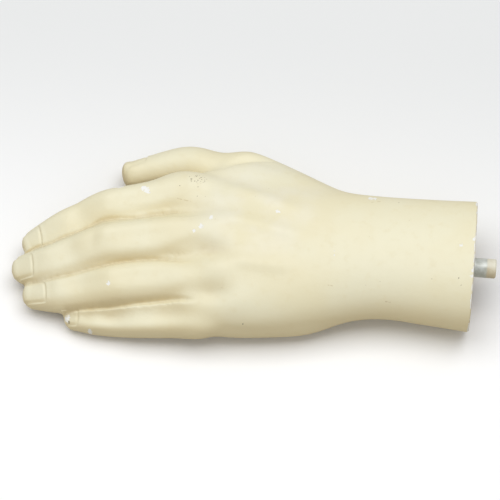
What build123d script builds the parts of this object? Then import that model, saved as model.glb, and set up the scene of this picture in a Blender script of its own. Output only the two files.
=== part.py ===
"""Carved wooden hand of a shop mannequin, a left hand lying palm down, with a steel wrist post
that turns in a bush. Millimetres. +X leaves the wrist along the post, +Y is the thumb side and
+Z is the back of the hand. The origin is where the post leaves the wrist face."""
import os
from dataclasses import dataclass
from math import cos, radians, sin

from build123d import *

os.makedirs("parts", exist_ok=True)


@dataclass
class Oval:
    """One cross-section of the trunk of the hand, square to the arm.
    y and width are shares of the palm's breadth."""
    x: float
    y: float
    z: float
    width: float
    back: float
    front: float


@dataclass
class Digit:
    """A finger or the thumb: bone lengths and angles from the knuckle to the tip.
    swing turns a bone to the little-finger side, droop turns it down to the table.
    Places and sizes across are shares of the palm's breadth, bones of the longest finger."""
    knuckle: tuple
    root: tuple
    root_size: tuple
    bones: tuple
    swing: tuple
    droop: tuple
    breadth: tuple
    depth: tuple
    tip_breadth: float
    tip_depth: float
    tip_reach: float
    roll: float


# Main sizes. Places along and across the hand are shares of these.
ARM_LENGTH = 50.0
PALM_LENGTH = 97.0
PALM_BREADTH = 81.0
FINGER_LENGTH = 102.3


def palm_at(share):
    """Place along the arm, from the wrist crease at 0 to the knuckles at 1."""
    return -ARM_LENGTH - PALM_LENGTH * share


# Trunk: forearm stump, wrist, heel of the hand, palm and web.
TRUNK_ROLL = 9.0
OVAL_FULLNESS = 0.62
wrist_end = Oval(x=0.0, y=0.003, z=0.0, width=0.858, back=23.0, front=23.0)
forearm = Oval(x=-0.48 * ARM_LENGTH, y=0.017, z=-0.3, width=0.825, back=21.0, front=22.0)
wrist = Oval(x=palm_at(0.000), y=0.027, z=-0.5, width=0.812, back=19.5, front=20.5)
heel = Oval(x=palm_at(0.268), y=-0.012, z=-1.0, width=0.901, back=19.5, front=19.5)
palm = Oval(x=palm_at(0.546), y=-0.049, z=-1.5, width=0.975, back=19.5, front=15.5)
knuckle_row = Oval(x=palm_at(0.845), y=-0.049, z=-1.5, width=1.000, back=17.8, front=14.0)
web = Oval(x=palm_at(1.021), y=-0.049, z=-2.5, width=0.901, back=14.5, front=10.0)
web_end = Oval(x=palm_at(1.165), y=-0.056, z=-3.5, width=0.617, back=4.5, front=2.5)
trunk = [wrist_end, forearm, wrist, heel, palm, knuckle_row, web, web_end]

# First web: the muscle between the thumb and the index finger.
muscle_root = Oval(x=palm_at(0.124), y=0.191, z=0.0, width=0.444, back=14.0, front=14.0)
muscle_heel = Oval(x=palm_at(0.433), y=0.327, z=-0.5, width=0.469, back=13.0, front=14.0)
muscle_belly = Oval(x=palm_at(0.691), y=0.401, z=0.5, width=0.457, back=12.0, front=12.0)
muscle_edge = Oval(x=palm_at(0.866), y=0.401, z=1.0, width=0.358, back=10.5, front=9.5)
muscle_end = Oval(x=palm_at(1.000), y=0.370, z=1.0, width=0.247, back=8.5, front=7.0)
first_web = [muscle_root, muscle_heel, muscle_belly, muscle_edge, muscle_end]

# Heel pad of the little-finger side.
pad_root = Oval(x=palm_at(0.062), y=-0.148, z=-8.0, width=0.296, back=9.0, front=10.0)
pad_heel = Oval(x=palm_at(0.289), y=-0.265, z=-9.5, width=0.432, back=12.0, front=13.0)
pad_belly = Oval(x=palm_at(0.536), y=-0.315, z=-9.5, width=0.444, back=13.0, front=13.0)
pad_edge = Oval(x=palm_at(0.784), y=-0.352, z=-8.5, width=0.420, back=12.0, front=12.5)
pad_end = Oval(x=palm_at(0.959), y=-0.389, z=-8.5, width=0.296, back=9.0, front=9.5)
heel_pad = [pad_root, pad_heel, pad_belly, pad_edge, pad_end]

# Ball of the thumb, on the palm side.
ball_root = Oval(x=palm_at(0.062), y=0.111, z=-7.0, width=0.272, back=9.0, front=9.0)
ball_heel = Oval(x=palm_at(0.247), y=0.198, z=-9.0, width=0.383, back=11.0, front=12.0)
ball_belly = Oval(x=palm_at(0.454), y=0.309, z=-10.0, width=0.395, back=11.0, front=12.5)
ball_end = Oval(x=palm_at(0.660), y=0.457, z=-8.5, width=0.296, back=9.0, front=10.0)
thumb_ball = [ball_root, ball_heel, ball_belly, ball_end]

# Fingers and thumb. Bones are shares of the longest finger, breadths shares of the palm.
index = Digit(knuckle=(palm_at(1.000), 0.348, 3.5), root=(palm_at(0.515), 0.228, 6.0),
              root_size=(0.185, 12.0), bones=(0.445, 0.254, 0.230), swing=(14.2, 23.0, 23.8),
              droop=(4.0, 17.0, 20.0), breadth=(0.300, 0.264, 0.242), depth=(23.5, 19.5, 16.5),
              tip_breadth=0.193, tip_depth=13.5, tip_reach=7.5, roll=9.0)
middle = Digit(knuckle=(palm_at(0.938), 0.049, 5.0), root=(palm_at(0.454), 0.031, 7.0),
               root_size=(0.185, 12.0), bones=(0.484, 0.293, 0.223), swing=(9.7, 17.6, 5.1),
               droop=(4.0, 17.0, 22.0), breadth=(0.302, 0.272, 0.242), depth=(24.0, 20.0, 17.0),
               tip_breadth=0.198, tip_depth=14.0, tip_reach=7.5, roll=10.0)
ring = Digit(knuckle=(palm_at(0.897), -0.226, 0.5), root=(palm_at(0.474), -0.130, 4.0),
             root_size=(0.173, 11.0), bones=(0.464, 0.283, 0.198), swing=(8.3, 7.2, -2.3),
             droop=(5.3, 14.2, 16.0), breadth=(0.281, 0.272, 0.235), depth=(23.0, 19.5, 16.5),
             tip_breadth=0.188, tip_depth=13.5, tip_reach=7.0, roll=12.0)
little = Digit(knuckle=(palm_at(0.866), -0.448, -8.0), root=(palm_at(0.495), -0.309, -4.0),
               root_size=(0.160, 11.0), bones=(0.357, 0.215, 0.166), swing=(4.0, 0.0, -3.0),
               droop=(7.8, 8.0, 9.0), breadth=(0.267, 0.232, 0.200), depth=(21.5, 17.0, 14.5),
               tip_breadth=0.160, tip_depth=11.5, tip_reach=6.0, roll=18.0)
thumb = Digit(knuckle=(palm_at(0.680), 0.586, -5.5), root=(palm_at(0.144), 0.216, -2.0),
              root_size=(0.395, 32.0), bones=(0.386, 0.334), swing=(-10.5, 12.5),
              droop=(7.0, 9.0), breadth=(0.309, 0.274), depth=(25.0, 20.2),
              tip_breadth=0.225, tip_depth=15.2, tip_reach=5.5, roll=-62.0)
fingers = [index, middle, ring, little]

DIGIT_FULLNESS = 0.66
SECTION_GAP = 6.5
BONE_WAIST = 1.03
BONE_DIP = 1.1
TIP_ANGLES = (30.0, 54.0, 73.0, 85.0)

# Wrist fitting: bush, screws, post, spring washer and clip.
POST_DIAMETER = 10.0
POST_REACH = 12.0
POST_CHAMFER = 0.6
JOURNAL_DIAMETER = 8.0
JOURNAL_CLEARANCE = 0.04
FLANGE_DIAMETER = 36.0
FLANGE_THICKNESS = 3.0
SLEEVE_DIAMETER = 15.0
SLEEVE_LENGTH = 40.0
GLUE_LINE = 0.05
WASHER_DIAMETER = 14.0
WASHER_BORE_GAP = 0.2
WASHER_THICKNESS = 0.7
WASHER_CONE = 0.5
CLIP_DIAMETER = 13.0
CLIP_THICKNESS = 1.0
CLIP_MOUTH = 5.5
GROOVE_DIAMETER = 6.4
GROOVE_PLAY = 0.1
JOURNAL_TAIL = 2.5
BORE_RUNOUT = 4.0
SCREW_COUNT = 3
SCREW_CIRCLE = 25.5
SCREW_HEAD = 6.6
SCREW_SHANK = 3.4
SCREW_LENGTH = 18.0
SCREW_POINT = 3.5
SCREW_ANGLE = 90.0
SCREW_SLOT_WIDTH = 0.9
SCREW_SLOT_DEPTH = 1.0
SCREW_GAP = 0.05


def flow(rows):
    """Rows of values, place first, with smooth rows set evenly between them."""
    full = []
    for number in range(len(rows) - 1):
        before = rows[max(number - 1, 0)]
        start = rows[number]
        end = rows[number + 1]
        after = rows[min(number + 2, len(rows) - 1)]
        steps = max(1, round((Vector(*end[:3]) - Vector(*start[:3])).length / SECTION_GAP))
        for step in range(steps):
            t = step / steps
            full.append([b + (c - a) * t / 2 + (a - 2.5 * b + 2 * c - d / 2) * t ** 2
                         + (1.5 * b - a / 2 - 1.5 * c + d / 2) * t ** 3
                         for a, b, c, d in zip(before, start, end, after)])
    full.append(list(rows[-1]))
    return full


def oval_outline(half, deep, fullness):
    """Closed outline of four like quarters: half wide to each side, deep up and down."""
    for side, rise in ((1, 1), (-1, 1), (-1, -1), (1, -1)):
        edge = (half * side, 0)
        top = (0, deep * rise)
        near_edge = (half * side, deep * rise * fullness)
        near_top = (half * side * fullness, deep * rise)
        if side == rise:
            Bezier(edge, near_edge, near_top, top)
        else:
            Bezier(top, near_top, near_edge, edge)


def trunk_loft(ovals):
    """Smooth body through a row of sections square to the arm."""
    lift = radians(TRUNK_ROLL)
    across = Vector(0, cos(lift), sin(lift))
    up = Vector(0, -sin(lift), cos(lift))
    rows = []
    for oval in ovals:
        centre = Vector(oval.x, oval.y * PALM_BREADTH, oval.z)
        centre = centre + up * ((oval.back - oval.front) / 2)
        rows.append((*centre, oval.width * PALM_BREADTH / 2, (oval.back + oval.front) / 2))
    with BuildPart() as body:
        for x, y, z, half, deep in flow(rows):
            with BuildSketch(Plane(origin=(x, y, z), x_dir=across, z_dir=(1, 0, 0))):
                with BuildLine():
                    oval_outline(half, deep, OVAL_FULLNESS)
                make_face()
        loft()
    return body.part


def bone_direction(digit, number):
    """Unit vector along one bone, from the hand to the tip."""
    turn = radians(digit.swing[number])
    drop = radians(digit.droop[number])
    return Vector(-cos(drop) * cos(turn), -cos(drop) * sin(turn), -sin(drop))


def digit_plane(digit, centre, direction):
    """Plane across a digit: x to the thumb side, y to the nail side."""
    side = direction.cross(Vector(0, 0, 1)).normalized()
    nail = side.cross(direction).normalized()
    lean = radians(digit.roll)
    across = side * cos(lean) + nail * sin(lean)
    return Plane(origin=centre, x_dir=across, z_dir=direction * -1)


def across_palm(place):
    """Point whose middle number is a share of the palm's breadth."""
    x, share, z = place
    return Vector(x, share * PALM_BREADTH, z)


def digit_rows(digit):
    """Centre, direction, half breadth and half depth of a digit at its joints and bones."""
    joint = across_palm(digit.knuckle)
    root = across_palm(digit.root)
    ahead = (joint - root).normalized()
    half = PALM_BREADTH / 2
    rows = [(*root, *ahead, digit.root_size[0] * half, digit.root_size[1] / 2)]
    last = len(digit.bones) - 1
    for number, share in enumerate(digit.bones):
        length = share * FINGER_LENGTH
        along = bone_direction(digit, number)
        bend = (ahead + along).normalized()
        broad = digit.breadth[number] * half
        deep = digit.depth[number] / 2
        rows.append((*joint, *bend, broad, deep))
        if number < last:
            broad = (broad + digit.breadth[number + 1] * half) / 2 * BONE_WAIST
            deep = (deep + digit.depth[number + 1] / 2) / 2 - BONE_DIP / 2
            middle_of_bone = digit_plane(digit, joint + along * (length / 2), along)
            centre = middle_of_bone.origin - middle_of_bone.y_dir * (BONE_DIP / 2)
            rows.append((*centre, *along, broad, deep))
        joint = joint + along * length
        ahead = along
    base = joint - ahead * digit.tip_reach
    broad = digit.tip_breadth * half
    deep = digit.tip_depth / 2
    rows.append((*base, *ahead, broad, deep))
    rows = flow(rows)
    for angle in TIP_ANGLES:
        size = cos(radians(angle))
        spot = base + ahead * (digit.tip_reach * sin(radians(angle)))
        rows.append((*spot, *ahead, broad * size, deep * size))
    return rows


def digit_loft(digit):
    """Smooth body of a finger or the thumb."""
    with BuildPart() as body:
        for x, y, z, i, j, k, broad, deep in digit_rows(digit):
            with BuildSketch(digit_plane(digit, (x, y, z), Vector(i, j, k).normalized())):
                with BuildLine():
                    oval_outline(broad, deep, DIGIT_FULLNESS)
                make_face()
        loft()
    return body.part


# Places along the wrist axis, from the wrist face into the arm.
wrist_face = Plane(origin=(0, 0, 0), x_dir=(0, 1, 0), z_dir=(1, 0, 0))
clip_near = SLEEVE_LENGTH + WASHER_CONE + WASHER_THICKNESS
clip_far = clip_near + CLIP_THICKNESS
journal_end = clip_far + JOURNAL_TAIL

# Hand: the trunk, its pads and the digits are one piece of carved wood, bored for the fitting.
with BuildPart() as hand_body:
    add([trunk_loft(mass) for mass in (trunk, first_web, heel_pad, thumb_ball)])
    add([digit_loft(digit) for digit in fingers + [thumb]])
    with Locations(wrist_face):
        CounterBoreHole(radius=SLEEVE_DIAMETER / 2 + GLUE_LINE,
                        counter_bore_radius=FLANGE_DIAMETER / 2 + GLUE_LINE,
                        counter_bore_depth=FLANGE_THICKNESS, depth=journal_end + BORE_RUNOUT)
        with PolarLocations(SCREW_CIRCLE / 2, SCREW_COUNT):
            Hole(radius=SCREW_SHANK / 2 + SCREW_GAP, depth=SCREW_LENGTH + SCREW_GAP)
hand_body.part.label = "hand_body"
export_step(hand_body.part, "parts/hand_body.step")

# Bush: turned steel sleeve with a flange let in flush with the wrist face.
with BuildPart() as post_bush:
    with BuildSketch(wrist_face):
        Circle(FLANGE_DIAMETER / 2)
    extrude(amount=-FLANGE_THICKNESS)
    with BuildSketch(wrist_face):
        Circle(SLEEVE_DIAMETER / 2)
    extrude(amount=-SLEEVE_LENGTH)
    with Locations(wrist_face):
        Hole(radius=JOURNAL_DIAMETER / 2 + JOURNAL_CLEARANCE)
        with PolarLocations(SCREW_CIRCLE / 2, SCREW_COUNT):
            CounterSinkHole(radius=SCREW_SHANK / 2 + SCREW_GAP,
                            counter_sink_radius=SCREW_HEAD / 2 + SCREW_GAP,
                            depth=FLANGE_THICKNESS, counter_sink_angle=SCREW_ANGLE)
post_bush.part.label = "post_bush"
export_step(post_bush.part, "parts/post_bush.step")

# Screws: slotted countersunk wood screws that hold the flange to the end grain.
with BuildPart() as bush_screws:
    head_depth = (SCREW_HEAD - SCREW_SHANK) / 2
    for spot in PolarLocations(SCREW_CIRCLE / 2, SCREW_COUNT).locations:
        centre = wrist_face.from_local_coords(tuple(spot.position))
        with BuildSketch(Plane(origin=centre, x_dir=(1, 0, 0), z_dir=(0, 1, 0))):
            Polygon((0, 0), (0, SCREW_HEAD / 2), (-head_depth, SCREW_SHANK / 2),
                    (SCREW_POINT - SCREW_LENGTH, SCREW_SHANK / 2), (-SCREW_LENGTH, 0), align=None)
        revolve(axis=Axis(centre, (1, 0, 0)))
        slot_face = Plane(origin=centre, x_dir=centre.normalized(), z_dir=(1, 0, 0))
        with BuildSketch(slot_face):
            Rectangle(SCREW_SLOT_WIDTH, SCREW_HEAD * 1.2)
        extrude(amount=-SCREW_SLOT_DEPTH, mode=Mode.SUBTRACT)
bush_screws.part.label = "bush_screws"
export_step(bush_screws.part, "parts/bush_screws.step")

# Post: stepped steel pin; its shoulder bears on the flange and its journal turns in the bush.
with BuildPart() as wrist_post:
    post_radius = POST_DIAMETER / 2
    journal_radius = JOURNAL_DIAMETER / 2
    groove_near = clip_near - GROOVE_PLAY
    with BuildSketch(Plane.XY):
        Polygon((POST_REACH, 0), (POST_REACH, post_radius - POST_CHAMFER),
                (POST_REACH - POST_CHAMFER, post_radius), (0, post_radius), (0, journal_radius),
                (-groove_near, journal_radius), (-groove_near, GROOVE_DIAMETER / 2),
                (-clip_far, GROOVE_DIAMETER / 2), (-clip_far, journal_radius),
                (POST_CHAMFER - journal_end, journal_radius),
                (-journal_end, journal_radius - POST_CHAMFER), (-journal_end, 0), align=None)
    revolve(axis=Axis.X)
wrist_post.part.label = "wrist_post"
export_step(wrist_post.part, "parts/wrist_post.step")

# Spring washer: a shallow cone pressed between the end of the bush and the clip.
with BuildPart() as spring_washer:
    washer_bore = JOURNAL_DIAMETER / 2 + WASHER_BORE_GAP
    with BuildSketch(Plane.XY):
        Polygon((-SLEEVE_LENGTH, WASHER_DIAMETER / 2),
                (-SLEEVE_LENGTH - WASHER_THICKNESS, WASHER_DIAMETER / 2),
                (-clip_near, washer_bore), (WASHER_THICKNESS - clip_near, washer_bore), align=None)
    revolve(axis=Axis.X)
spring_washer.part.label = "spring_washer"
export_step(spring_washer.part, "parts/spring_washer.step")

# Clip: open ring snapped into the groove of the post.
with BuildPart() as retaining_clip:
    with BuildSketch(wrist_face.offset(-clip_far)):
        Circle(CLIP_DIAMETER / 2)
        Circle(GROOVE_DIAMETER / 2 + GLUE_LINE, mode=Mode.SUBTRACT)
        with Locations((CLIP_DIAMETER / 2, 0)):
            Rectangle(CLIP_DIAMETER, CLIP_MOUTH, mode=Mode.SUBTRACT)
    extrude(amount=CLIP_THICKNESS)
retaining_clip.part.label = "retaining_clip"
export_step(retaining_clip.part, "parts/retaining_clip.step")
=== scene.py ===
import math

import bpy
import numpy as np
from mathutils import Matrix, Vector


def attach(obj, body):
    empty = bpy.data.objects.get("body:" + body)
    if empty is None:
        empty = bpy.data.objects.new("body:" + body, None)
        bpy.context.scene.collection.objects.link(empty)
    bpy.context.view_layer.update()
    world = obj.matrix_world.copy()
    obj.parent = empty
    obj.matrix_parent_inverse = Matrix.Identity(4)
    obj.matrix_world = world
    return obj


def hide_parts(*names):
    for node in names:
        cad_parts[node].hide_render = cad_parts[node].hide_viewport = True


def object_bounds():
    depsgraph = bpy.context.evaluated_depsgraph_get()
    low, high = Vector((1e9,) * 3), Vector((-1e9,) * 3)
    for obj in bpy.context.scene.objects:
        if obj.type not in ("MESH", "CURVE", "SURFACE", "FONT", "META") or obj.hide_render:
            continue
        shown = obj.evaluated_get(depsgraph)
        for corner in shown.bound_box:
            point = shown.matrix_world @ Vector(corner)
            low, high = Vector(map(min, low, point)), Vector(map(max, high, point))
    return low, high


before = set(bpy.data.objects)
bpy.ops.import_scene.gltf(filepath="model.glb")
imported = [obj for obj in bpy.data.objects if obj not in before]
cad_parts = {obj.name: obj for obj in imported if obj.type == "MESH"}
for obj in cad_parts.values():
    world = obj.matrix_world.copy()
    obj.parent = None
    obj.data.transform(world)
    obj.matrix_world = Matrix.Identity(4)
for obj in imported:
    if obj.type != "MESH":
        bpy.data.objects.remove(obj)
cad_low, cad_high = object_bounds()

import openvdb
from mathutils import Vector

# Hand: one block of close-grained wood, carved as a left hand with its fingers held together.
# The carver roughs out the form, rubs it down so that knuckles, webs and pads run into one
# another, then cuts the nails and creases. The wrist is sawn off square. Sizes in millimetres.
SAW_SPARE = 4.0
END_FACE = -0.01
WELD_GAP = 0.02
BORE_REACH = 18.2
BORE_END = -60.0
CARVING_GRAIN = 1.15
RUB_STEPS = 20
RUB_STRENGTH = 0.5
LINE_STEP = 0.05
FAR_OFF = 1e6


def only(piece):
    """Select one object and nothing else."""
    bpy.ops.object.select_all(action="DESELECT")
    piece.select_set(True)
    bpy.context.view_layer.objects.active = piece


def points_of(piece):
    """Vertex places in millimetres, one row each."""
    flat = np.empty(len(piece.data.vertices) * 3)
    piece.data.vertices.foreach_get("co", flat)
    return flat.reshape(-1, 3) * 1000


def normals_of(piece):
    """Vertex normals, one row each."""
    flat = np.empty(len(piece.data.vertices) * 3)
    piece.data.vertices.foreach_get("normal", flat)
    return flat.reshape(-1, 3)


def put_points(piece, rows):
    """Write vertex places back, from millimetres."""
    piece.data.vertices.foreach_set("co", (rows / 1000).ravel())
    piece.data.update()


def pick_faces(piece, chosen, least=0.0):
    """Go to edit mode with the faces selected whose corners are all chosen and that aren't tiny."""
    only(piece)
    bpy.ops.object.mode_set(mode="EDIT")
    bpy.ops.mesh.select_mode(type="FACE")
    bpy.ops.mesh.select_all(action="DESELECT")
    bpy.ops.object.mode_set(mode="OBJECT")
    mesh = piece.data
    corners = np.empty(len(mesh.loops), dtype=np.int32)
    mesh.loops.foreach_get("vertex_index", corners)
    starts = np.empty(len(mesh.polygons), dtype=np.int32)
    mesh.polygons.foreach_get("loop_start", starts)
    areas = np.empty(len(mesh.polygons))
    mesh.polygons.foreach_get("area", areas)
    picked = np.logical_and.reduceat(chosen[corners], starts) & (areas * 1e6 > least)
    mesh.polygons.foreach_set("select", picked)
    bpy.ops.object.mode_set(mode="EDIT")


def ease(low, high, value):
    """Smooth rise from 0 at low to 1 at high."""
    t = np.clip((value - low) / (high - low), 0.0, 1.0)
    return t * t * (3.0 - 2.0 * t)


def rub(piece, weights, times):
    """Rub the carving smooth where the weights say."""
    group = piece.vertex_groups.new(name="rub")
    levels = np.round(weights * RUB_STEPS).astype(int)
    for level in range(1, RUB_STEPS + 1):
        spots = np.nonzero(levels == level)[0]
        if len(spots):
            group.add(spots.tolist(), level / RUB_STEPS, "REPLACE")
    smooth = piece.modifiers.new("rub", "SMOOTH")
    smooth.factor = RUB_STRENGTH
    smooth.iterations = times
    smooth.vertex_group = "rub"
    only(piece)
    bpy.ops.object.modifier_apply(modifier="rub")
    piece.vertex_groups.clear()


def flowing(points):
    """Smooth line through a few points, as a dense row of points."""
    row = np.array(points, float)
    ends = np.vstack([2 * row[0] - row[1], row, 2 * row[-1] - row[-2]])
    line = []
    for a, b, c, d in zip(ends, ends[1:], ends[2:], ends[3:]):
        for t in np.arange(0, 1, LINE_STEP):
            line.append(b + (c - a) * t / 2 + (a - 2.5 * b + 2 * c - d / 2) * t ** 2
                        + (1.5 * b - a / 2 - 1.5 * c + d / 2) * t ** 3)
    return np.array(line + [row[-1]])


def near_line(place, line):
    """Distance of each place to a line of points, and how far along it the nearest point is."""
    gap = np.full(len(place), FAR_OFF)
    share = np.zeros(len(place))
    steps = len(line) - 1
    for number in range(steps):
        run = line[number + 1] - line[number]
        t = np.clip((place - line[number]) @ run / (run @ run), 0.0, 1.0)
        here = np.linalg.norm(place - line[number] - np.outer(t, run), axis=1)
        nearer = here < gap
        gap[nearer] = here[nearer]
        share[nearer] = (number + t[nearer]) / steps
    return gap, share


bpy.ops.object.select_all(action="DESELECT")
hand = bpy.data.objects.new("carved_hand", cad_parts["hand_body"].data.copy())
bpy.context.scene.collection.objects.link(hand)
only(hand)
bpy.ops.object.mode_set(mode="EDIT")
bpy.ops.mesh.select_all(action="SELECT")
bpy.ops.mesh.remove_doubles(threshold=WELD_GAP / 1000)
bpy.ops.object.mode_set(mode="OBJECT")
place = points_of(hand)
pick_faces(hand, (np.hypot(place[:, 1], place[:, 2]) < BORE_REACH) & (place[:, 0] > BORE_END))
bpy.ops.mesh.delete(type="FACE")
bpy.ops.mesh.select_all(action="SELECT")
bpy.ops.mesh.fill_holes(sides=0)
bpy.ops.object.mode_set(mode="OBJECT")
pick_faces(hand, points_of(hand)[:, 0] > END_FACE)
bpy.ops.mesh.extrude_region_move(TRANSFORM_OT_translate={"value": (SAW_SPARE / 1000, 0, 0)})
bpy.ops.mesh.select_all(action="SELECT")
bpy.ops.mesh.normals_make_consistent(inside=False)
bpy.ops.object.mode_set(mode="OBJECT")

# Rubbing down: the form is read as distances to its skin, which can be softened place by place.
# Hollows of the back and the palm fill up, while the cuts between the fingers stay narrow.
# Pairs of numbers are where a share starts and where it is full.
SKIN_REACH = 10
WEB_SOFTNESS = (6.0, 9.0, 6.0)
CUT_FILL = (2.2, 2.2, 2.2)
LITTLE_FILL = (4.0, 4.5, 4.5)
SKIN_SOFTNESS = (1.1, 1.1, 1.1)
CUT_SOFTNESS = (0.7, 0.7, 0.7)
HEEL_SOFTNESS = (8.0, 2.5, 2.5)
TRUNK_X = (-164.0, -140.0)
THUMB_X = (-80.0, -104.0)
THUMB_Y = (35.0, 46.0)
FINGERS_X = (-100.0, -140.0)
FINGERS_END_Y = (36.0, 44.0)
LITTLE_X = (-206.0, -198.0)
LITTLE_INNER_Y = (-26.0, -32.0)
LITTLE_OUTER_Y = (-47.0, -43.0)
HEEL_FRONT_X = (-122.0, -96.0)
HEEL_BACK_X = (-26.0, -44.0)
BACK_FRONT_X = (-150.0, -136.0)
BACK_END_X = (-20.0, -40.0)
BACK_Z = (-2.0, 3.0)
FIRST_RUB = 2
BACK_RUB = 25


def soften(field, reach):
    """Blur a block of distances by a reach in millimetres along, across and up."""
    waves = np.fft.rfftn(field)
    for axis, size in enumerate(field.shape):
        turns = np.fft.rfftfreq(size) if axis == 2 else np.fft.fftfreq(size)
        shape = [1, 1, 1]
        shape[axis] = len(turns)
        fade = np.exp(-2 * (math.pi * reach[axis] / CARVING_GRAIN * turns) ** 2)
        waves = waves * fade.reshape(shape)
    return np.fft.irfftn(waves, field.shape)


hand.data.calc_loop_triangles()
corners = np.empty(len(hand.data.loop_triangles) * 3, dtype=np.int32)
hand.data.loop_triangles.foreach_get("vertices", corners)
skin = openvdb.FloatGrid.createLevelSetFromPolygons(
    points_of(hand), triangles=corners.reshape(-1, 3),
    transform=openvdb.createLinearTransform(CARVING_GRAIN), halfWidth=SKIN_REACH)
first, last = skin.evalActiveVoxelBoundingBox()
rough = np.empty([high - low + 1 for low, high in zip(first, last)])
skin.copyToArray(rough, ijk=first)
x, y, _ = [axis * CARVING_GRAIN for axis in
           np.ogrid[[slice(low, high + 1) for low, high in zip(first, last)]]]
trunk_share = ease(*TRUNK_X, x) * (1 - ease(*THUMB_Y, y) * ease(*THUMB_X, x))
web_fill = np.minimum(rough, soften(rough, WEB_SOFTNESS))
finger_fill = np.minimum(rough, soften(rough, CUT_FILL))
beside_little = ease(*LITTLE_INNER_Y, y) * ease(*LITTLE_OUTER_Y, y) * ease(*LITTLE_X, x)
little_fill = np.minimum(rough, soften(rough, LITTLE_FILL))
finger_fill = finger_fill + (np.minimum(finger_fill, little_fill) - finger_fill) * beside_little
finger_share = (1 - ease(*FINGERS_END_Y, y)) * ease(*FINGERS_X, x)
rough = (rough + (finger_fill - rough) * finger_share * (1 - trunk_share)
         + (web_fill - rough) * trunk_share)
smooth = soften(rough, CUT_SOFTNESS)
smooth = smooth + (soften(rough, SKIN_SOFTNESS) - smooth) * trunk_share
heel_share = ease(*HEEL_FRONT_X, x) * ease(*HEEL_BACK_X, x)
smooth = smooth + (soften(rough, HEEL_SOFTNESS) - smooth) * heel_share
skin = openvdb.FloatGrid(SKIN_REACH * CARVING_GRAIN)
skin.transform = openvdb.createLinearTransform(CARVING_GRAIN)
skin.copyFromArray(smooth, ijk=first)
corners, threes, fours = skin.convertToPolygons(isovalue=0.0)
carving = bpy.data.meshes.new("carved_hand")
carving.from_pydata(corners / 1000, [], threes.tolist() + fours.tolist())
hand.data = carving
bpy.ops.object.mode_set(mode="EDIT")
bpy.ops.mesh.select_all(action="SELECT")
bpy.ops.mesh.normals_make_consistent(inside=False)
bpy.ops.object.mode_set(mode="OBJECT")
rub(hand, np.ones(len(hand.data.vertices)), FIRST_RUB)
x, _, z = points_of(hand).T
rub(hand, ease(*BACK_FRONT_X, x) * ease(*BACK_END_X, x) * ease(*BACK_Z, z), BACK_RUB)

# Digits: joints from knuckle to tip, half breadth at knuckle and tip, the way the nail faces, and
# the nail's half width, length, sideways place, slant of the root and how far its end stands up.
digits = {
    "index": dict(
        joints=[(-147.0, 28.2, 3.5), (-191.0, 17.0, 0.3), (-213.9, 7.3, -7.3), (-234.1, -1.6, -15.3)],
        half=(11.0, 8.0), nail=(-0.246, -0.279, 0.928), plate=(5.3, 13.0, 0.9, 0.2, 0.75)),
    "middle": dict(
        joints=[(-141.0, 4.0, 5.0), (-189.7, -4.4, 1.5), (-217.0, -13.0, -7.2), (-238.1, -14.9, -15.8)],
        half=(11.5, 8.2), nail=(-0.339, -0.289, 0.897), plate=(5.8, 14.9, 0.0, 0.0, 0.75)),
    "ring": dict(
        joints=[(-137.0, -18.3, 0.5), (-183.8, -25.1, -3.9), (-211.6, -28.6, -11.0),
                (-231.1, -27.9, -16.6)],
        half=(11.0, 7.8), nail=(-0.278, -0.230, 0.932), plate=(5.0, 15.2, -0.4, -0.1, 0.75)),
    "little": dict(
        joints=[(-134.0, -36.3, -8.0), (-170.1, -38.8, -13.0), (-191.9, -38.8, -16.0),
                (-208.6, -37.9, -18.7)],
        half=(9.5, 6.6), nail=(-0.165, -0.301, 0.939), plate=(4.4, 8.8, 0.0, 0.0, 0.75)),
    "thumb": dict(
        joints=[(-116.0, 47.5, -5.5), (-154.5, 54.6, -10.3), (-187.4, 47.3, -15.7)],
        half=(12.5, 9.5), nail=(-0.263, 0.846, 0.464), plate=(7.4, 15.0, 0.0, 0.0, 1.3)),
}
FINGERS = ("index", "middle", "ring", "little")


def refine(piece, where, size):
    """Divide the faces of a region until their sides are about as short as the size."""
    for _ in range(round(math.log2(CARVING_GRAIN / size))):
        pick_faces(piece, where(points_of(piece)), 2 * size ** 2)
        bpy.ops.mesh.subdivide(number_cuts=1, quadcorner="INNERVERT")
        bpy.ops.mesh.select_face_by_sides(number=4, type="GREATER", extend=False)
        bpy.ops.mesh.quads_convert_to_tris()
        bpy.ops.object.mode_set(mode="OBJECT")


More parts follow.
